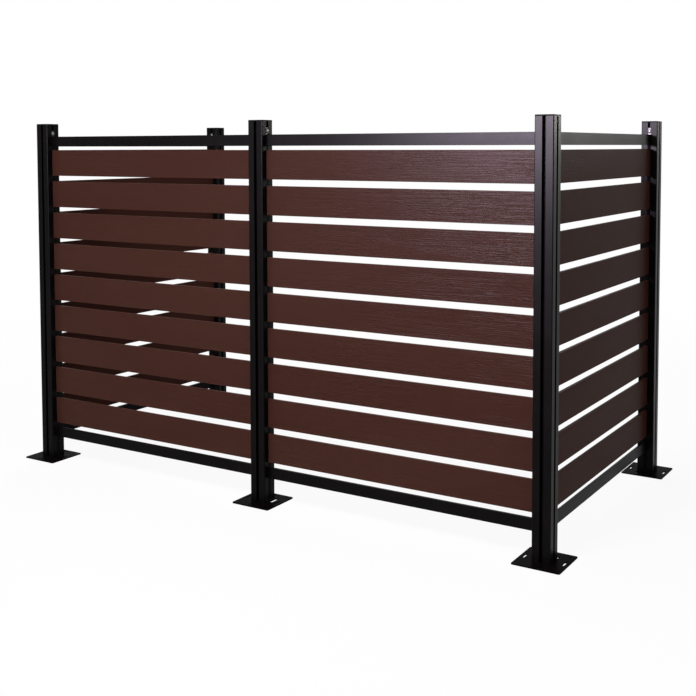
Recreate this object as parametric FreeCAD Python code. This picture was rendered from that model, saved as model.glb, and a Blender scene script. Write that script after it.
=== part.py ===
import FreeCAD, Part
import math
import os

# Garden privacy screen: four slatted bays between five slotted posts on base plates.
# Two bays stand in front and one on each side; the back is open.
# Millimetres, +Z up, origin on the ground at the centre of the footprint.

# ---- bays and boards ----
bay_clear = 888.0            # clear width between the facing sides of two posts
board_count = 9              # boards stacked in each bay
board_height = 91.0
board_gap = 20.0             # open gap between two boards
board_arris = 0.8            # chamfer along the long edges of a board
rail_height = 35.0
rail_wall = 1.2
rail_arris = 0.8             # chamfer along the long edges of a rail
support_height = 73.5        # base plate to bottom rail
bottom_gap = 16.0            # bottom rail to lowest board
top_gap = 12.5               # highest board to top rail

# ---- post extrusion ----
post_side = 54.0
post_corner_radius = 2.5
skin = 2.0                   # outer wall, and the lips beside each slot
slot_width = 10.0            # slot mouth in each face
lip_chamfer = 0.8            # eased outer edge of a lip
channel_width = 17.0         # slot channel behind the lips
channel_depth = 12.0         # post face to channel floor
channel_wall = 1.6
port_wall = 2.0              # wall of the square screw ports in the corners
post_above_rail = 41.0       # top rail to post top

# ---- post caps ----
cap_height = 4.0
plug_depth = 14.0
plug_wall = 2.0

# ---- base plates ----
plate_side = 138.0
plate_thickness = 4.0
plate_corner_cut = 3.0       # corners cut off at 45 degrees
plate_edge_chamfer = 0.5
anchor_slot_length = 29.0
anchor_slot_width = 7.0
anchor_slot_inset = 12.5     # plate edge to slot centre line
side_slot_length = 38.0      # longer slot beside the post
side_slot_width = 12.0
side_slot_gap = 1.0          # post face to the nearest edge of this slot
side_slot_offset = 12.0      # its centre, measured along the post face
corner_hole_diameter = 6.0
corner_hole_inset = 16.0     # from both plate edges

# ---- screws and stop nuts ----
base_screw_diameter = 4.0
base_screw_reach = 20.0      # length inside the post
base_head_diameter = 8.0
base_head_height = 2.0
base_head_recess = 0.2       # head stays this far above the ground
stop_screw_diameter = 6.0
stop_head_setback = 2.0      # head rim inside the channel walls, where it bears on the lips
stop_head_height = 3.2
stop_head_rim = 1.2          # straight rim under the crowned head
stop_head_crown = 1.6        # how far the crown draws in from the rim
stop_nut_height = 22.0
stop_nut_thickness = 8.0
stop_screw_overrun = 1.0     # screw tip past the nut

# ---- flat sides that stand for small round forms ----
base_screw_sides = 6         # base screws, their holes and the port bores
shank_sides = 8              # stop screw shanks, nut holes and corner holes
stop_head_sides = 12

# ---- clearances ----
slot_play = 0.5              # board or rail to each side of the slot mouth
end_clearance = 1.0          # board or rail end to the channel floor
fit_gap = 0.3                # spacers, nuts, plugs and screws to what holds them

# ---- sizes that follow ----
pitch = bay_clear + post_side
half_post = post_side / 2
member_thickness = slot_width - 2 * slot_play
member_length = bay_clear + 2 * (channel_depth - end_clearance)
port_bore = base_screw_diameter + 2 * fit_gap
port_offset = half_post - skin - port_bore / 2
core_half = half_post - channel_depth - channel_wall
stop_head_diameter = channel_width - 2 * stop_head_setback

bottom_rail_z = plate_thickness + support_height
first_board_z = bottom_rail_z + rail_height + bottom_gap
last_board_z = first_board_z + (board_count - 1) * (board_height + board_gap)
top_rail_z = last_board_z + board_height + top_gap
stop_nut_z = top_rail_z + rail_height
post_top_z = stop_nut_z + post_above_rail

# name, centre of the bay, turn about Z
bays = (
    ("front_left_bay", (-pitch / 2, -pitch / 2), 0),
    ("front_right_bay", (pitch / 2, -pitch / 2), 0),
    ("right_side_bay", (pitch, 0), 90),
    ("left_side_bay", (-pitch, 0), 90),
)

# name, centre of the post, face with the plate's side slot, and the way that slot is offset
posts = (
    ("left_front", (-pitch, -pitch / 2), (0, 1), (-1, 0)),
    ("middle_front", (0, -pitch / 2), (1, 0), (0, 1)),
    ("right_front", (pitch, -pitch / 2), (0, 1), (1, 0)),
    ("right_back", (pitch, pitch / 2), (0, -1), (-1, 0)),
    ("left_back", (-pitch, pitch / 2), (0, -1), (1, 0)),
)


def rounded_wire(points):
    """Closed wire through (x, y) or (x, y, radius) corners; a corner with no radius is sharp."""
    corners = [FreeCAD.Vector(point[0], point[1], 0) for point in points]
    runs = []
    for index, point in enumerate(points):
        corner = corners[index]
        if len(point) == 2:
            runs.append((corner, None, corner))
            continue
        before = corners[index - 1] - corner
        after = corners[(index + 1) % len(points)] - corner
        half_angle = before.getAngle(after) / 2
        before.normalize()
        after.normalize()
        setback = point[2] / math.tan(half_angle)
        inward = (before + after).normalize()
        middle = corner + inward * (point[2] / math.sin(half_angle) - point[2])
        runs.append((corner + before * setback, middle, corner + after * setback))
    edges = []
    for index, (start, middle, end) in enumerate(runs):
        if middle is not None:
            edges.append(Part.Arc(start, middle, end).toShape())
        following = runs[(index + 1) % len(runs)][0]
        if not end.isEqual(following, 1e-7):
            edges.append(Part.makeLine(end, following))
    return Part.Wire(edges)


def quarter_turned(points):
    """The same run of corners repeated on all four sides of a square profile."""
    corners = []
    side = points
    for turn in range(4):
        corners += side
        side = [(-point[1], point[0], *point[2:]) for point in side]
    return corners


def rectangle_points(width, height, *radius):
    """Corners of a rectangle centred on the origin."""
    x = width / 2
    y = height / 2
    return [(-x, -y, *radius), (x, -y, *radius), (x, y, *radius), (-x, y, *radius)]


def cut_rectangle_points(width, height, cut):
    """Corners of a centred rectangle whose four corners are cut off at 45 degrees."""
    x = width / 2
    y = height / 2
    return [(-x + cut, -y), (x - cut, -y), (x, -y + cut), (x, y - cut),
            (x - cut, y), (-x + cut, y), (-x, y - cut), (-x, -y + cut)]


def prism(points, height):
    """Upright extrusion of an outline, standing on Z = 0."""
    return Part.Face(rounded_wire(points)).extrude(FreeCAD.Vector(0, 0, height))


def round_prism(radius, height, sides, x=0.0, y=0.0, z=0.0):
    """Small round piece or hole with flat sides, standing on (x, y, z)."""
    angles = [(index + 0.5) * 2 * math.pi / sides for index in range(sides)]
    piece = prism([(radius * math.cos(angle), radius * math.sin(angle)) for angle in angles], height)
    piece.translate(FreeCAD.Vector(x, y, z))
    return piece


def placed(shape, centre, turn=0, z=0.0):
    """Copy turned about the Z axis and then moved."""
    copy = shape.copy()
    copy.rotate(FreeCAD.Vector(0, 0, 0), FreeCAD.Vector(0, 0, 1), turn)
    copy.translate(FreeCAD.Vector(centre[0], centre[1], z))
    return copy


def at_bay_ends(shape):
    """Copies of a piece made for the left end of a bay, at both ends of every bay."""
    return [placed(shape, centre, turn + end) for _, centre, turn in bays for end in (0, 180)]


def at_ports(shape):
    """Copies of a piece at the four screw ports of a post."""
    return [placed(shape, (x, y)) for x in (-port_offset, port_offset) for y in (-port_offset, port_offset)]


def lying_along_x(profile, length):
    """Bar with the given (y, z) profile, centred on the origin along X."""
    bar = profile.extrude(FreeCAD.Vector(0, 0, length))
    bar.rotate(FreeCAD.Vector(0, 0, 0), FreeCAD.Vector(1, 1, 1), 120)
    bar.translate(FreeCAD.Vector(-length / 2, 0, 0))
    return bar


def export(shape, name):
    """One STEP file for each piece, or for each group of equal pieces."""
    shape.exportStep("parts/" + name + ".step")


def make_post():
    """Square extrusion: a lipped slot in each face and a square screw port in each corner."""
    mouth = slot_width / 2
    channel = channel_width / 2
    lip = -half_post + skin
    floor = -half_post + channel_depth
    outline = quarter_turned([
        (-half_post, -half_post, post_corner_radius),
        (-mouth - lip_chamfer, -half_post),
        (-mouth, -half_post + lip_chamfer),
        (-mouth, lip),
        (-channel, lip),
        (-channel, floor),
        (channel, floor),
        (channel, lip),
        (mouth, lip),
        (mouth, -half_post + lip_chamfer),
        (mouth + lip_chamfer, -half_post),
    ])
    back = channel + channel_wall
    port_side = -port_offset + port_bore / 2 + port_wall
    core = quarter_turned([
        (lip, port_side),
        (port_side, port_side),
        (port_side, lip),
        (-back, lip),
        (-back, -core_half),
        (back, -core_half),
        (back, lip),
    ])
    height = post_top_z - plate_thickness
    bore = round_prism(port_bore / 2, height, base_screw_sides)
    return prism(outline, height).cut([prism(core, height)] + at_ports(bore))


def make_cap():
    """Flat cover flush with the post faces, on a square plug that enters the core."""
    cover = prism(rectangle_points(post_side, post_side, post_corner_radius), cap_height)
    plug_side = 2 * (core_half - fit_gap)
    plug = prism(rectangle_points(plug_side, plug_side), plug_depth)
    bore_side = plug_side - 2 * plug_wall
    plug = plug.cut(prism(rectangle_points(bore_side, bore_side), plug_depth))
    plug.translate(FreeCAD.Vector(0, 0, -plug_depth))
    return cover.fuse(plug).removeSplitter()


def make_plate(slot_side, slot_shift):
    """Base plate: four anchor slots, one side slot, a corner hole and four screw holes."""
    plate = prism(cut_rectangle_points(plate_side, plate_side, plate_corner_cut), plate_thickness)
    rim = [edge for edge in plate.Edges if edge.BoundBox.ZMin > plate_thickness - 1e-6]
    plate = plate.makeChamfer(plate_edge_chamfer, rim)
    anchor_outline = rectangle_points(anchor_slot_length, anchor_slot_width, anchor_slot_width / 2)
    anchor = prism(anchor_outline, plate_thickness)
    anchor.translate(FreeCAD.Vector(0, plate_side / 2 - anchor_slot_inset, 0))
    cutters = [placed(anchor, (0, 0), turn) for turn in (0, 90, 180, 270)]

    # the round ends of the side slot are drawn with flats
    flat = side_slot_width * (1 - math.sqrt(0.5))
    side_slot = prism(cut_rectangle_points(side_slot_length, side_slot_width, flat), plate_thickness)
    reach = half_post + side_slot_gap + side_slot_width / 2
    centre = [reach * out + side_slot_offset * way for out, way in zip(slot_side, slot_shift)]
    cutters.append(placed(side_slot, centre, 90 * abs(slot_side[0])))

    corner = plate_side / 2 - corner_hole_inset
    x, y = [corner * (out + way) for out, way in zip(slot_side, slot_shift)]
    cutters.append(round_prism(corner_hole_diameter / 2, plate_thickness, shank_sides, x, y))

    seat = base_head_height + base_head_recess
    cutters += at_ports(round_prism(port_bore / 2, plate_thickness, base_screw_sides))
    cutters += at_ports(round_prism(base_head_diameter / 2 + fit_gap, seat, base_screw_sides))
    return plate.cut(cutters)


def make_base_screw():
    """Flat-headed screw driven up through the plate into a screw port."""
    seat = base_head_recess + base_head_height
    head = round_prism(base_head_diameter / 2, base_head_height, base_screw_sides, z=base_head_recess)
    shank_length = plate_thickness - seat + base_screw_reach
    shank = round_prism(base_screw_diameter / 2, shank_length, base_screw_sides, z=seat)
    return head.fuse(shank)


def make_board():
    """Solid board with chamfered long edges, its lower edge on Z = 0."""
    profile = Part.Face(rounded_wire(cut_rectangle_points(member_thickness, board_height, board_arris)))
    board = lying_along_x(profile, member_length)
    board.translate(FreeCAD.Vector(0, 0, board_height / 2))
    return board


def make_rail():
    """Flat hollow bar with chamfered edges, its lower edge on Z = 0."""
    outer = rounded_wire(cut_rectangle_points(member_thickness, rail_height, rail_arris))
    inner = rounded_wire(rectangle_points(member_thickness - 2 * rail_wall, rail_height - 2 * rail_wall))
    profile = Part.Face(outer).cut(Part.Face(inner))
    rail = lying_along_x(profile.Faces[0], member_length)
    rail.translate(FreeCAD.Vector(0, 0, rail_height / 2))
    return rail


def make_spacer(height, z):
    """T-shaped block for the left end of a bay; its narrow front closes the slot mouth."""
    face = -bay_clear / 2
    throat = slot_width / 2 - fit_gap
    head = channel_width / 2 - fit_gap
    shoulder = face - skin - fit_gap
    back = face - channel_depth + fit_gap
    spacer = prism([(face, -throat), (face, throat), (shoulder, throat), (shoulder, head),
                    (back, head), (back, -head), (shoulder, -head), (shoulder, -throat)], height)
    spacer.translate(FreeCAD.Vector(0, 0, z))
    return spacer


def at_stop_screw(shape):
    """Turns a piece made along Z so that it points out of the slot, and puts it above the top rail."""
    shape.rotate(FreeCAD.Vector(0, 0, 0), FreeCAD.Vector(0, 1, 0), 90)
    shape.translate(FreeCAD.Vector(-bay_clear / 2, 0, stop_nut_z + stop_nut_height / 2))
    return shape


def make_stop_nut():
    """Block behind the lips, standing on the top rail, with a hole for the stop screw."""
    width = channel_width - 2 * fit_gap
    block = prism(rectangle_points(stop_nut_height, width), stop_nut_thickness)
    radius = stop_screw_diameter / 2 + fit_gap
    nut = block.cut(round_prism(radius, stop_nut_thickness, shank_sides))
    nut.translate(FreeCAD.Vector(0, 0, -skin - stop_nut_thickness))
    return at_stop_screw(nut)


def make_stop_screw():
    """Screw with a crowned head that is wider than the slot mouth and bears on the lips."""
    head = round_prism(stop_head_diameter / 2, stop_head_height, stop_head_sides)
    crown = [edge for edge in head.Edges if edge.BoundBox.ZMin > stop_head_height - 1e-6]
    head = head.makeChamfer(stop_head_height - stop_head_rim, stop_head_crown, crown)
    length = skin + stop_nut_thickness + stop_screw_overrun
    shank = round_prism(stop_screw_diameter / 2, length, shank_sides, z=-length)
    return at_stop_screw(head.fuse(shank))


os.makedirs("parts", exist_ok=True)

# base plates and posts, one file each
post = make_post()
for name, centre, slot_side, slot_shift in posts:
    export(placed(make_plate(slot_side, slot_shift), centre), "base_plate_" + name)
    export(placed(post, centre, z=plate_thickness), "post_" + name)

# rails and boards of each bay, one file each
board = make_board()
rail = make_rail()
for name, centre, turn in bays:
    export(placed(rail, centre, turn, bottom_rail_z), name + "_bottom_rail")
    export(placed(rail, centre, turn, top_rail_z), name + "_top_rail")
    for index in range(board_count):
        height = first_board_z + index * (board_height + board_gap)
        export(placed(board, centre, turn, height), name + "_board_" + str(index + 1))

# spacers in the slots: under the bottom rails, and in every gap beside the boards
export(Part.makeCompound(at_bay_ends(make_spacer(support_height, plate_thickness))), "support_spacers")
gap_spacers = at_bay_ends(make_spacer(bottom_gap, first_board_z - bottom_gap))
gap_spacers += at_bay_ends(make_spacer(top_gap, top_rail_z - top_gap))
for index in range(board_count - 1):
    gap_z = first_board_z + index * (board_height + board_gap) + board_height
    gap_spacers += at_bay_ends(make_spacer(board_gap, gap_z))
export(Part.makeCompound(gap_spacers), "slot_spacers")

# caps, stop nuts and screws, each kind in one file as separate solids
cap = make_cap()
export(Part.makeCompound([placed(cap, centre, z=post_top_z) for _, centre, _, _ in posts]), "post_caps")
export(Part.makeCompound(at_bay_ends(make_stop_nut())), "stop_nuts")
export(Part.makeCompound(at_bay_ends(make_stop_screw())), "stop_screws")
base_screws = []
for _, centre, _, _ in posts:
    base_screws += [placed(screw, centre) for screw in at_ports(make_base_screw())]
export(Part.makeCompound(base_screws), "base_screws")
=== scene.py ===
from math import cos, pi, radians, sin

import bmesh
import bpy
from mathutils import Matrix, Vector


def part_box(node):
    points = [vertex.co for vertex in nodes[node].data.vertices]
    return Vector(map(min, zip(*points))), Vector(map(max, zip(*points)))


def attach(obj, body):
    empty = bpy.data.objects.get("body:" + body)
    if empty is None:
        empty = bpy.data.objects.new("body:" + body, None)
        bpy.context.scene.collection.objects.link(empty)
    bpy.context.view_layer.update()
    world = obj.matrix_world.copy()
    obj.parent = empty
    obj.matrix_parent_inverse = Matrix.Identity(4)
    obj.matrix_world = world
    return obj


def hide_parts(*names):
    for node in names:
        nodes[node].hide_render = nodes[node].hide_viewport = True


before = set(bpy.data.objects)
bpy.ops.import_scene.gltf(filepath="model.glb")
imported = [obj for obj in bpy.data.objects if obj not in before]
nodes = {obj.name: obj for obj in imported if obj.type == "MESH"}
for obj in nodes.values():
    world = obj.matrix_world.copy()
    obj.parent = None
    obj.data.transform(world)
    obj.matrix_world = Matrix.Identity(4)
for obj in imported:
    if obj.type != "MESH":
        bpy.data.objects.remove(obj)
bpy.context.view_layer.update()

print("frame loaded:", len(nodes), "nodes")

postNames = ("left_front", "middle_front", "right_front", "right_back", "left_back")
# each bay of boards and the two posts that hold it
bayPosts = {
    "front_left_bay": ("left_front", "middle_front"),
    "front_right_bay": ("middle_front", "right_front"),
    "right_side_bay": ("right_front", "right_back"),
    "left_side_bay": ("left_front", "left_back"),
}
boardsInBay = 9
# lengths are in metres, and angles in degrees where nothing else is said
tolerance = 1e-6               # heights and points closer than this are the same


# a socket's value, so that shader maths reads like ordinary sums
class Wire:
    def __init__(self, finish, socket):
        self.finish = finish
        self.socket = socket

    def maths(self, operation, first, second):
        return self.finish.put("ShaderNodeMath", {"operation": operation}, {0: first, 1: second})

    def __add__(self, other):
        return self.maths("ADD", self, other)

    def __radd__(self, other):
        return self.maths("ADD", other, self)

    def __sub__(self, other):
        return self.maths("SUBTRACT", self, other)

    def __rsub__(self, other):
        return self.maths("SUBTRACT", other, self)

    def __mul__(self, other):
        return self.maths("MULTIPLY", self, other)

    def __rmul__(self, other):
        return self.maths("MULTIPLY", other, self)

    def __truediv__(self, other):
        return self.maths("DIVIDE", self, other)

    def __rtruediv__(self, other):
        return self.maths("DIVIDE", other, self)

    def __pow__(self, other):
        return self.maths("POWER", self, other)

    def __rpow__(self, other):
        return self.maths("POWER", other, self)

    def atMost(self, high):
        return self.maths("MINIMUM", self, high)

    # 0 below low, 1 above high, eased between
    def between(self, low, high):
        return self.finish.put("ShaderNodeMapRange", {"interpolation_type": "SMOOTHSTEP"},
                               {"Value": self, "From Min": low, "From Max": high})

    # another output of the same node
    def other(self, name):
        return Wire(self.finish, self.socket.node.outputs[name])


# the node tree of a material or of the world
class Finish:
    def __init__(self, owner):
        owner.use_nodes = True
        self.owner = owner
        self.tree = owner.node_tree
        self.tree.nodes.clear()

    # any node: its type, its settings, then the values or links of its sockets
    def put(self, kind, settings=None, sockets=None, out=0):
        node = self.tree.nodes.new(kind)
        for key, value in (settings or {}).items():
            setattr(node, key, value)
        for key, value in (sockets or {}).items():
            socket = node.inputs[key]
            if isinstance(value, Wire):
                self.tree.links.new(value.socket, socket)
            elif socket.type == "RGBA":
                socket.default_value = (*value, 1.0)
            else:
                socket.default_value = value
        if node.outputs:
            return Wire(self, node.outputs[out])

    # the object's own coordinates, in metres
    def place(self):
        return self.put("ShaderNodeTexCoord", out="Object")

    def axes(self):
        x = self.put("ShaderNodeSeparateXYZ", None, {0: self.place()}, out="X")
        return x, x.other("Y"), x.other("Z")

    def noise(self, vector, scale=1.0, detail=2.0, roughness=0.5):
        return self.put("ShaderNodeTexNoise", None, {
            "Vector": vector, "Scale": scale, "Detail": detail, "Roughness": roughness})

    # noise drawn out by a scale of its own along each coordinate
    def streaks(self, coordinates, scales, detail=2.0, roughness=0.5):
        x, y, z = (value * scale for value, scale in zip(coordinates, scales))
        vector = self.put("ShaderNodeCombineXYZ", None, {0: x, 1: y, 2: z})
        return self.noise(vector, detail=detail, roughness=roughness)

    # inputs 6 and 7 and output 2 are the ones for colours
    def mixColour(self, factor, first, second):
        return self.put("ShaderNodeMix", {"data_type": "RGBA"}, {0: factor, 6: first, 7: second},
                        out=2)

    def bump(self, height, distance):
        return self.put("ShaderNodeBump", None, {"Height": height, "Distance": distance})

    def surface(self, sockets):
        shader = self.put("ShaderNodeBsdfPrincipled", None, sockets)
        self.put("ShaderNodeOutputMaterial", None, {"Surface": shader})
        return self.owner


def scaledColour(colour, share):
    return tuple(share * channel for channel in colour)


# boards: brown composite with an embossed wood grain
board = {
    "brown": (0.053, 0.0183, 0.0137),
    "lightBrown": (0.061, 0.0250, 0.0174),
    "darkBrown": (0.030, 0.0102, 0.0080),
    "sidePaintedShade": 0.74,         # painted shade: the side boards are coloured darker than the front ones, for the lesser light on their faces
    "linePitch": 0.0023,       # height of one embossed grain line
    "lineLength": 0.15,        # how far a long line runs before it fades
    "dashLength": 0.028,       # length of the short strokes between the lines
    "flow": 0.0008,            # how far the lines wander up and down
    "frontDepth": 0.00018,
    "sideDepth": 0.00007,      # shallower, because the sides are seen at a glancing angle
    "roughness": 0.32,
    "frontGloss": 0.020,
    "sideGloss": 0.006,
    # how fine the broad patterns are along the board, up it and through it, per metre
    "flowScale": (1.6, 5.0, 9.0),
    "faintScale": (5.0, 18.0, 9.0),
    "toneScale": (1.3, 5.0, 3.0),
    # the same for the grain: per line length or dash length, per line pitch, per metre
    "lineScale": (1.0, 0.9, 60.0),
    "dashScale": (1.0, 1.1, 70.0),
    "fibreScale": (1.6, 2.2, 90.0),
    # the noise values between which each pattern fades in
    "lineFade": (0.38, 0.62),
    "dashFade": (0.50, 0.66),
    "fibreFade": (0.35, 0.65),
    "faintFade": (0.30, 0.62),
    "toneFade": (0.3, 0.7),
    # how much of the depth each pattern takes
    "linePress": 0.80,
    "dashPress": 0.60,
    "fibrePress": 0.2,
    "faintPress": 0.35,        # what is left of lines and strokes in the smooth stretches
    # how much each pattern changes the colour and the roughness
    "lineStain": 0.08,
    "dashStain": 0.09,
    "fibreStain": 0.2,
    "toneStain": 0.5,
    "lineRoughness": 0.02,
    "fibreRoughness": 0.03,
}


# paintedShade scales the board colours down as painted shade, 1 for none
def boardFinish(name, along, paintedShade, gloss, depth):
    b = board
    f = Finish(bpy.data.materials.new(name))
    x, y, z = f.axes()
    run, through = (x, y) if along == "x" else (y, x)
    # the grain flows slowly up and down along the board
    flow = f.streaks((run, z, through), b["flowScale"], detail=1.0)
    row = (z + (flow - 0.5) * (2 * b["flow"])) / b["linePitch"]
    longRun = run / b["lineLength"]
    shortRun = run / b["dashLength"]
    # straight lines that come and go, short strokes between them, and fine fibre
    line = f.streaks((longRun, row, through), b["lineScale"], detail=0.0).between(*b["lineFade"])
    dash = f.streaks((shortRun, row, through), b["dashScale"], detail=0.0).between(*b["dashFade"])
    fibre = f.streaks((shortRun, row, through), b["fibreScale"], roughness=0.6)
    # smooth stretches where the embossing is faint
    faint = f.streaks((run, z, through), b["faintScale"], detail=1.0).between(*b["faintFade"])
    press = b["faintPress"] + faint * (1 - b["faintPress"])
    height = fibre * b["fibrePress"] - (line * b["linePress"] + dash * b["dashPress"]) * press
    # slow change of tone over the board
    tone = f.streaks((run, z, through), b["toneScale"], detail=1.0).between(*b["toneFade"])
    # the colours are scaled by the painted shade, which darkens the side boards
    brown, lightBrown, darkBrown = (scaledColour(b[tint], paintedShade)
                                    for tint in ("brown", "lightBrown", "darkBrown"))
    light = tone * b["toneStain"] + fibre.between(*b["fibreFade"]) * b["fibreStain"]
    dark = line * b["lineStain"] + dash * b["dashStain"]
    return f.surface({
        "Base Color": f.mixColour(dark, f.mixColour(light, brown, lightBrown), darkBrown),
        "Roughness": b["roughness"] + line * b["lineRoughness"] - fibre * b["fibreRoughness"],
        "Specular IOR Level": gloss,
        "Normal": f.bump(height, depth)})


# black powder coat of the posts, rails and base plates
coat = {
    "black": (0.0027, 0.0021, 0.0021),
    "postRoughness": 0.29,
    "railRoughness": 0.30,
    "plateRoughness": 0.30,
    "gloss": 0.034,
    "sideGloss": 0.019,        # the side rails and the plates are seen at a glancing angle
    "plateGloss": 0.004,
    "peelDepth": 0.00004,      # height of the orange peel
    "peelScale": 420.0,
    # faint lines of the extrusion under the coat, by the way they run
    "drawnScale": {"x": (3.0, 300.0, 300.0), "y": (300.0, 3.0, 300.0), "z": (300.0, 300.0, 3.0),
                   "flat": (60.0, 60.0, 60.0)},
    "drawnPress": 0.6,
    "drawnRoughness": 0.04,
    # thin dust that makes the coat paler and duller in clouds
    "dustScale": 9.0,
    "dustPale": 1.7,
    "dustStain": 0.5,
    "dustFade": (0.45, 0.8),
    "dustRoughness": 0.05,
    "dustRoughnessFade": (0.3, 0.8),
}


def coatFinish(name, along, roughness, gloss):
    c = coat
    f = Finish(bpy.data.materials.new(name))
    peel = f.noise(f.place(), scale=c["peelScale"])
    drawn = f.streaks(f.axes(), c["drawnScale"][along], roughness=0.6)
    dust = f.noise(f.place(), scale=c["dustScale"], detail=3.0, roughness=0.6)
    dulled = dust.between(*c["dustRoughnessFade"]) * c["dustRoughness"]
    return f.surface({
        "Base Color": f.mixColour(dust.between(*c["dustFade"]) * c["dustStain"],
                                  c["black"], scaledColour(c["black"], c["dustPale"])),
        "Roughness": roughness + dulled + drawn * c["drawnRoughness"],
        "Specular IOR Level": gloss,
        "Normal": f.bump(peel + drawn * c["drawnPress"], c["peelDepth"])})


# moulded black plastic of the caps and spacers
plastic = {
    "black": (0.0030, 0.0028, 0.0028),
    "roughness": 0.55,
    "gloss": 0.015,
    "grainDepth": 0.00006,     # height of the eroded texture
    "grainScale": 1100.0,
    "grainRoughness": 0.12,
    # paler clouds
    "cloudScale": 14.0,
    "cloudPale": 1.6,
    "cloudStain": 0.6,
    "cloudFade": (0.4, 0.8),
}


def plasticFinish(name):
    p = plastic
    f = Finish(bpy.data.materials.new(name))
    grain = f.noise(f.place(), scale=p["grainScale"], roughness=0.7)
    cloud = f.noise(f.place(), scale=p["cloudScale"])
    return f.surface({
        "Base Color": f.mixColour(cloud.between(*p["cloudFade"]) * p["cloudStain"],
                                  p["black"], scaledColour(p["black"], p["cloudPale"])),
        "Roughness": p["roughness"] + grain * p["grainRoughness"],
        "Specular IOR Level": p["gloss"],
        "Normal": f.bump(grain, p["grainDepth"])})


# zinc of the screws and nuts
zinc = {
    "bright": (0.20, 0.203, 0.206),
    # painted shade: the zinc of the nuts deep in the post slots, coloured dark for the shade there
    "shadedInSlots": (0.040, 0.040, 0.042),
    "roughness": 0.32,
    # dull patches, and how dark they are beside the clean ones
    "bloomScale": 260.0,
    "bloomShade": 0.5,
    "bloomFade": (0.35, 0.7),
    "bloomRoughness": 0.18,
    "scratchDepth": 0.00002,
    "scratchScale": 2400.0,
}


def zincFinish(name, clean):
    c = zinc
    f = Finish(bpy.data.materials.new(name))
    bloom = f.noise(f.place(), scale=c["bloomScale"], detail=3.0, roughness=0.6)
    scratch = f.noise(f.place(), scale=c["scratchScale"], detail=1.0)
    return f.surface({
        "Base Color": f.mixColour(bloom.between(*c["bloomFade"]),
                                  clean, scaledColour(clean, c["bloomShade"])),
        "Metallic": 1.0,
        "Roughness": c["roughness"] + bloom * c["bloomRoughness"],
        "Normal": f.bump(scratch, c["scratchDepth"])})


frontBoards = boardFinish("boardAcrossTheFront", "x", 1.0, board["frontGloss"],
                          board["frontDepth"])
# the side boards carry the painted shade
sideBoards = boardFinish("boardOnTheSides", "y", board["sidePaintedShade"], board["sideGloss"],
                         board["sideDepth"])
postCoat = coatFinish("postPowderCoat", "z", coat["postRoughness"], coat["gloss"])
frontRailCoat = coatFinish("frontRailPowderCoat", "x", coat["railRoughness"], coat["gloss"])
sideRailCoat = coatFinish("sideRailPowderCoat", "y", coat["railRoughness"], coat["sideGloss"])
plateCoat = coatFinish("platePowderCoat", "flat", coat["plateRoughness"], coat["plateGloss"])
blackPlastic = plasticFinish("mouldedBlackPlastic")
brightZinc = zincFinish("brightZinc", zinc["bright"])
# painted shade: a dark copy of the zinc for the nuts in the shade of the post slots
slotShadedZinc = zincFinish("zincShadedInSlots", zinc["shadedInSlots"])
print("finishes mixed")


def dress(nodeName, material):
    mesh = nodes[nodeName].data
    mesh.materials.clear()
    mesh.materials.append(material)


for bay in bayPosts:
    front = bay.startswith("front")
    for index in range(1, boardsInBay + 1):
        dress(bay + "_board_" + str(index), frontBoards if front else sideBoards)
    for rail in ("_top_rail", "_bottom_rail"):
        dress(bay + rail, frontRailCoat if front else sideRailCoat)
for name in postNames:
    dress("post_" + name, postCoat)
    dress("base_plate_" + name, plateCoat)
dress("slot_spacers", blackPlastic)
dress("support_spacers", blackPlastic)
dress("stop_nuts", slotShadedZinc)       # painted shade: the nuts sit deep in the post slots, where bright zinc would shine out, so their zinc is coloured dark for the shade there
dress("base_screws", brightZinc)
print("frame nodes dressed")


def meshObject(name, bm):
    mesh = bpy.data.meshes.new(name)
    bm.to_mesh(mesh)
    bm.free()
    made = bpy.data.objects.new(name, mesh)
    bpy.context.scene.collection.objects.link(made)
    return made


def finishPiece(bm, name, material, smoothAngle):
    bmesh.ops.recalc_face_normals(bm, faces=bm.faces)
    piece = meshObject(name, bm)
    piece.data.materials.append(material)
    piece.data.set_sharp_from_angle(angle=radians(smoothAngle))
    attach(piece, "root")
    return piece


# a block between two heights, centred over a point
def block(bm, centre, side, low, high):
    made = bmesh.ops.create_cube(bm, size=1.0)["verts"]
    bmesh.ops.scale(bm, vec=(side, side, high - low), verts=made)
    bmesh.ops.translate(bm, vec=(centre.x, centre.y, (low + high) / 2), verts=made)
    return made


def roundEdges(bm, edges, radius, segments):
    bmesh.ops.bevel(bm, geom=edges, offset=radius, offset_type="OFFSET", segments=segments,
                    profile=0.5, affect="EDGES", material=-1)


# post caps: a flush square cover with a hollow plug below it
postCap = {
    "cornerRadius": 0.0025,
    "cornerSegments": 5,
    "rimRadius": 0.0011,
    "rimSegments": 3,
    "plugSide": 0.0242,
    "plugWall": 0.002,
    "coverSkin": 0.001,        # how far the hollow of the plug stops short of the cover
    "smoothAngle": 34,
}


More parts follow.
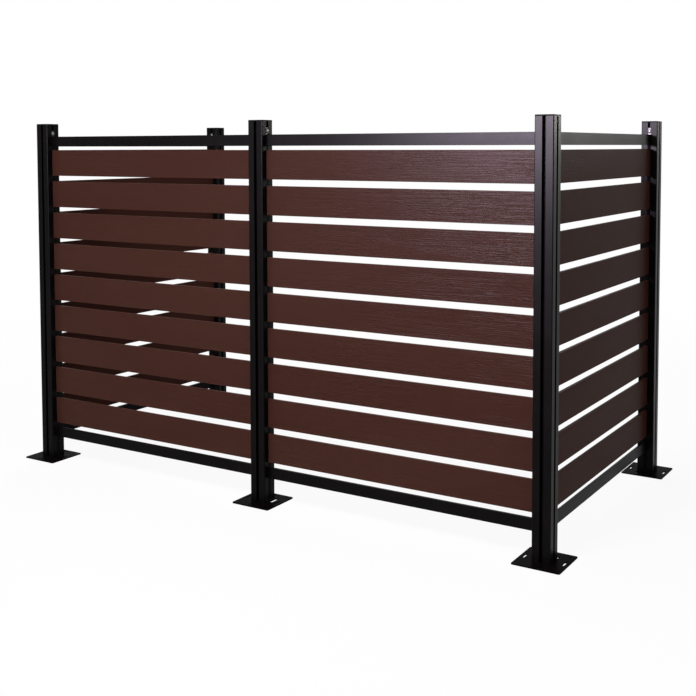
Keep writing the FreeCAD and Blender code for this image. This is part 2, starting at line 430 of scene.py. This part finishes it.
def postCaps():
    c = postCap
    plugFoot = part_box("post_caps")[0][2]
    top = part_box("post_caps")[1][2]
    bm = bmesh.new()
    for name in postNames:
        postLow, postHigh = (Vector(corner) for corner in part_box("post_" + name))
        seat = postHigh.z
        side = postHigh.x - postLow.x
        centre = (postLow + postHigh) / 2
        cover = block(bm, centre, side, seat, top)
        upright = [e for e in bm.edges if e.verts[0] in cover
                   and abs(e.verts[0].co.z - e.verts[1].co.z) > tolerance]
        roundEdges(bm, upright, c["cornerRadius"], c["cornerSegments"])
        rim = [e for e in bm.edges if (e.verts[0].co - centre).xy.length < side
               and min(v.co.z for v in e.verts) > top - tolerance]
        roundEdges(bm, rim, c["rimRadius"], c["rimSegments"])
        plug = block(bm, centre, c["plugSide"], plugFoot, seat)
        under = [face for face in bm.faces if face.verts[0] in plug and face.normal.z < -0.9]
        bmesh.ops.inset_region(bm, faces=under, thickness=c["plugWall"], use_even_offset=True)
        raised = bmesh.ops.extrude_face_region(bm, geom=under)["geom"]
        bmesh.ops.delete(bm, geom=under, context="FACES_ONLY")
        bmesh.ops.translate(bm, vec=(0, 0, seat - plugFoot - c["coverSkin"]),
                            verts=[v for v in raised if isinstance(v, bmesh.types.BMVert)])
    piece = finishPiece(bm, "postCapCovers", blackPlastic, c["smoothAngle"])
    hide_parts("post_caps")


# stop screws with a crowned head and a cross recess
stopScrew = {
    "headRadius": 0.0065,
    "headHeight": 0.0032,
    "rimHeight": 0.0007,
    "rimBevel": 0.0002,
    "shankRadius": 0.003,
    "shankLength": 0.011,
    "tipBevel": 0.0005,
    "tipLength": 0.0006,
    "recessReach": 0.0033,
    "recessWidth": 0.0013,
    "recessDepth": 0.0017,
    "recessFoot": (0.45, 0.8),     # reach and width at the foot, as shares of those above
    "rings": 6,
    "segments": 32,
    "firstTurn": 17,
    "turnStep": 29,            # no two screws stop at the same angle
    "smoothAngle": 29,
}


# one screw pointing up, its head seated on Z = 0
def screwMesh():
    s = stopScrew
    head, shank = s["headRadius"], s["shankRadius"]
    rise = s["headHeight"] - s["rimHeight"]
    bow = (head ** 2 + rise ** 2) / (2 * rise)     # radius of the crown
    profile = [(shank - s["tipBevel"], -s["shankLength"]),
               (shank, -s["shankLength"] + s["tipLength"]), (shank, 0.0),
               (head - s["rimBevel"], 0.0), (head, s["rimBevel"]), (head, s["rimHeight"])]
    for step in range(1, s["rings"]):
        radius = head * (1 - step / s["rings"])
        profile.append((radius, s["headHeight"] - bow + (bow ** 2 - radius ** 2) ** 0.5))
    bm = bmesh.new()
    verts = [bm.verts.new((radius, 0, height)) for radius, height in profile]
    edges = [bm.edges.new(pair) for pair in zip(verts, verts[1:])]
    bmesh.ops.spin(bm, geom=verts + edges, axis=(0, 0, 1), cent=(0, 0, 0), angle=2 * pi,
                   steps=s["segments"], use_merge=True)
    bmesh.ops.remove_doubles(bm, verts=bm.verts, dist=tolerance)
    bmesh.ops.holes_fill(bm, edges=[e for e in bm.edges if e.is_boundary], sides=0)
    bmesh.ops.recalc_face_normals(bm, faces=bm.faces)
    # cross-shaped cutter, narrower at its foot
    cross = bmesh.new()
    for quarter in (0, 1):
        bar = bmesh.ops.create_cube(cross, size=1.0)["verts"]
        bmesh.ops.scale(cross, vec=(2 * s["recessReach"], s["recessWidth"], 2 * s["recessDepth"]),
                        verts=bar)
        bmesh.ops.scale(cross, vec=(*s["recessFoot"], 1), verts=[v for v in bar if v.co.z < 0])
        bmesh.ops.rotate(cross, cent=(0, 0, 0), matrix=Matrix.Rotation(quarter * pi / 2, 3, "Z"),
                         verts=bar)
        bmesh.ops.translate(cross, vec=(0, 0, s["headHeight"]), verts=bar)
    body = meshObject("screwBody", bm)
    cutter = meshObject("crossCutter", cross)
    gouge = body.modifiers.new("recess", "BOOLEAN")
    gouge.operation = "DIFFERENCE"
    gouge.solver = "EXACT"
    gouge.use_self = True
    gouge.object = cutter
    cutBody = body.evaluated_get(bpy.context.evaluated_depsgraph_get())
    result = bpy.data.meshes.new_from_object(cutBody)
    for spent in (body, cutter):
        bpy.data.objects.remove(spent)
    return result


def stopScrews():
    s = stopScrew
    pattern = screwMesh()
    low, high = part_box("stop_screws")
    height = (low[2] + high[2]) / 2
    bm = bmesh.new()
    turn = s["firstTurn"]
    for posts in bayPosts.values():
        boxes = [[Vector(corner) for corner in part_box("post_" + name)] for name in posts]
        centres = [(corners[0] + corners[1]) / 2 for corners in boxes]
        halfPost = (boxes[0][1].x - boxes[0][0].x) / 2
        out = (centres[1] - centres[0]).normalized()
        for centre, way in zip(centres, (out, -out)):
            seat = centre + way * halfPost
            seat.z = height
            aim = way.to_track_quat("Z", "Y").to_matrix().to_4x4()
            twist = Matrix.Rotation(radians(turn), 4, "Z")
            before = len(bm.verts)
            bm.from_mesh(pattern)
            bm.verts.ensure_lookup_table()
            bmesh.ops.transform(bm, matrix=Matrix.Translation(seat) @ aim @ twist,
                                verts=bm.verts[before:])
            turn += s["turnStep"]
    piece = finishPiece(bm, "stopScrewsCrossHead", brightZinc, s["smoothAngle"])
    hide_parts("stop_screws")


postCaps()
stopScrews()
print("caps and stop screws made")


studio = {
    "floorReach": 30.0,
    "floorDrop": 0.0002,       # keeps the floor clear of the undersides of the plates
    "floorPaint": (0.86, 0.86, 0.86),
    "floorShare": 0.08,        # how much of the floor's own light and shadow shows near the object
    "floorFade": (1.6, 4.5),   # distances between which it fades out to white
    "worldLight": 0.28,
    "white": (1.0, 1.0, 1.0),
}


# 1 for what the camera, a reflection or clear material sees, 0 for light on the object
def seenRay(f):
    ray = f.put("ShaderNodeLightPath", out="Is Camera Ray")
    return (ray + ray.other("Is Glossy Ray") + ray.other("Is Transmission Ray")).atMost(1.0)


def paleFloor():
    s = studio
    bm = bmesh.new()
    bmesh.ops.create_grid(bm, x_segments=1, y_segments=1, size=s["floorReach"])
    bmesh.ops.translate(bm, vec=(0, 0, -s["floorDrop"]), verts=bm.verts)
    floor = meshObject("paleFloor", bm)
    f = Finish(bpy.data.materials.new("paleFloor"))
    x, y, z = f.axes()
    distance = (x * x + y * y) ** 0.5
    share = (1 - distance.between(*s["floorFade"])) * s["floorShare"]
    plain = f.put("ShaderNodeBsdfDiffuse", None, {"Color": s["floorPaint"]})
    white = f.put("ShaderNodeEmission", None, {"Color": s["white"], "Strength": 1.0})
    mixed = f.put("ShaderNodeMixShader", None, {0: seenRay(f) * (1 - share), 1: plain, 2: white})
    f.put("ShaderNodeOutputMaterial", None, {"Surface": mixed})
    floor.data.materials.append(f.owner)


# white where it is seen, and dimmer as a light on the object
def whiteWorld():
    s = studio
    world = bpy.data.worlds.new("softStudio")
    bpy.context.scene.world = world
    f = Finish(world)
    strength = s["worldLight"] + seenRay(f) * (1 - s["worldLight"])
    glow = f.put("ShaderNodeBackground", None, {"Color": s["white"], "Strength": strength})
    f.put("ShaderNodeOutputWorld", None, {"Surface": glow})


lamps = {
    "keyLamp": {
        "place": (0.35, -2.6, 3.2), "target": (0.35, -0.47, 0.8), "size": (1.2, 1.2),
        "power": 99.0},
    "topLamp": {
        "place": (0.0, -0.6, 4.2), "target": (0.0, -0.2, 0.0), "size": (3.4, 3.4),
        "power": 36.0},
    # left out of reflections, where it would put a sheen on the base plates
    "backLamp": {
        "place": (-2.2, 3.0, 2.2), "target": (0.0, -0.2, 0.6), "size": (1.8, 1.8),
        "power": 75.0, "glossy": False},
    # the last two show only as a sheen in glossy surfaces
    "glintLamp": {
        "place": (-0.28, -3.285, 1.50), "target": (0.8, -0.47, 1.1), "size": (0.85, 0.4),
        "power": 500.0, "colour": (0.98, 0.84, 1.04), "diffuse": False},
    "sideLamp": {
        "place": (2.0, 2.2, 1.75), "target": (0.97, -0.2, 1.15), "size": (0.9, 0.5),
        "power": 7.5, "colour": (1.0, 0.985, 0.95), "spread": 34, "diffuse": False},
}


def softLamp(name, place, target, size, power, colour=(1.0, 1.0, 1.0), spread=180,
             diffuse=True, glossy=True):
    lamp = bpy.data.lights.new(name, "AREA")
    lamp.shape = "RECTANGLE"
    lamp.size, lamp.size_y = size
    lamp.energy = power
    lamp.color = colour
    lamp.spread = radians(spread)
    holder = bpy.data.objects.new(name, lamp)
    holder.location = place
    holder.rotation_euler = (Vector(target) - Vector(place)).to_track_quat("-Z", "Y").to_euler()
    holder.visible_diffuse = diffuse
    holder.visible_glossy = glossy
    bpy.context.scene.collection.objects.link(holder)


camera = {
    "place": (1.99398, -3.14673, 1.11569),
    "yaw": 0.5590,             # radians, and so are pitch and roll
    "pitch": -0.0576,
    "roll": -0.0025,
    "focal": 1070.43,          # in pixels of the frame
    "frameWidth": 696,
    "sensorWidth": 36.0,       # millimetres
    "shiftY": -0.2,
    "clip": (0.05, 100.0),
}


def setCamera():
    c = camera
    eye = bpy.data.cameras.new("camera")
    eye.sensor_fit = "HORIZONTAL"
    eye.sensor_width = c["sensorWidth"]
    eye.lens = c["focal"] / c["frameWidth"] * c["sensorWidth"]
    eye.shift_y = c["shiftY"]
    eye.clip_start, eye.clip_end = c["clip"]
    yaw, pitch, roll = c["yaw"], c["pitch"], c["roll"]
    forward = Vector((-sin(yaw) * cos(pitch), cos(yaw) * cos(pitch), sin(pitch)))
    right = Vector((cos(yaw), sin(yaw), 0))
    up = right.cross(forward)
    tiltedRight = cos(roll) * right + sin(roll) * up
    tiltedUp = -sin(roll) * right + cos(roll) * up
    turn = Matrix((tiltedRight, tiltedUp, -forward)).transposed()
    holder = bpy.data.objects.new("camera", eye)
    holder.matrix_world = Matrix.Translation(c["place"]) @ turn.to_4x4()
    bpy.context.scene.collection.objects.link(holder)
    bpy.context.scene.camera = holder


paleFloor()
whiteWorld()
for name, settings in lamps.items():
    softLamp(name, **settings)
setCamera()
bpy.context.scene.view_settings.view_transform = "Standard"
print("studio set")
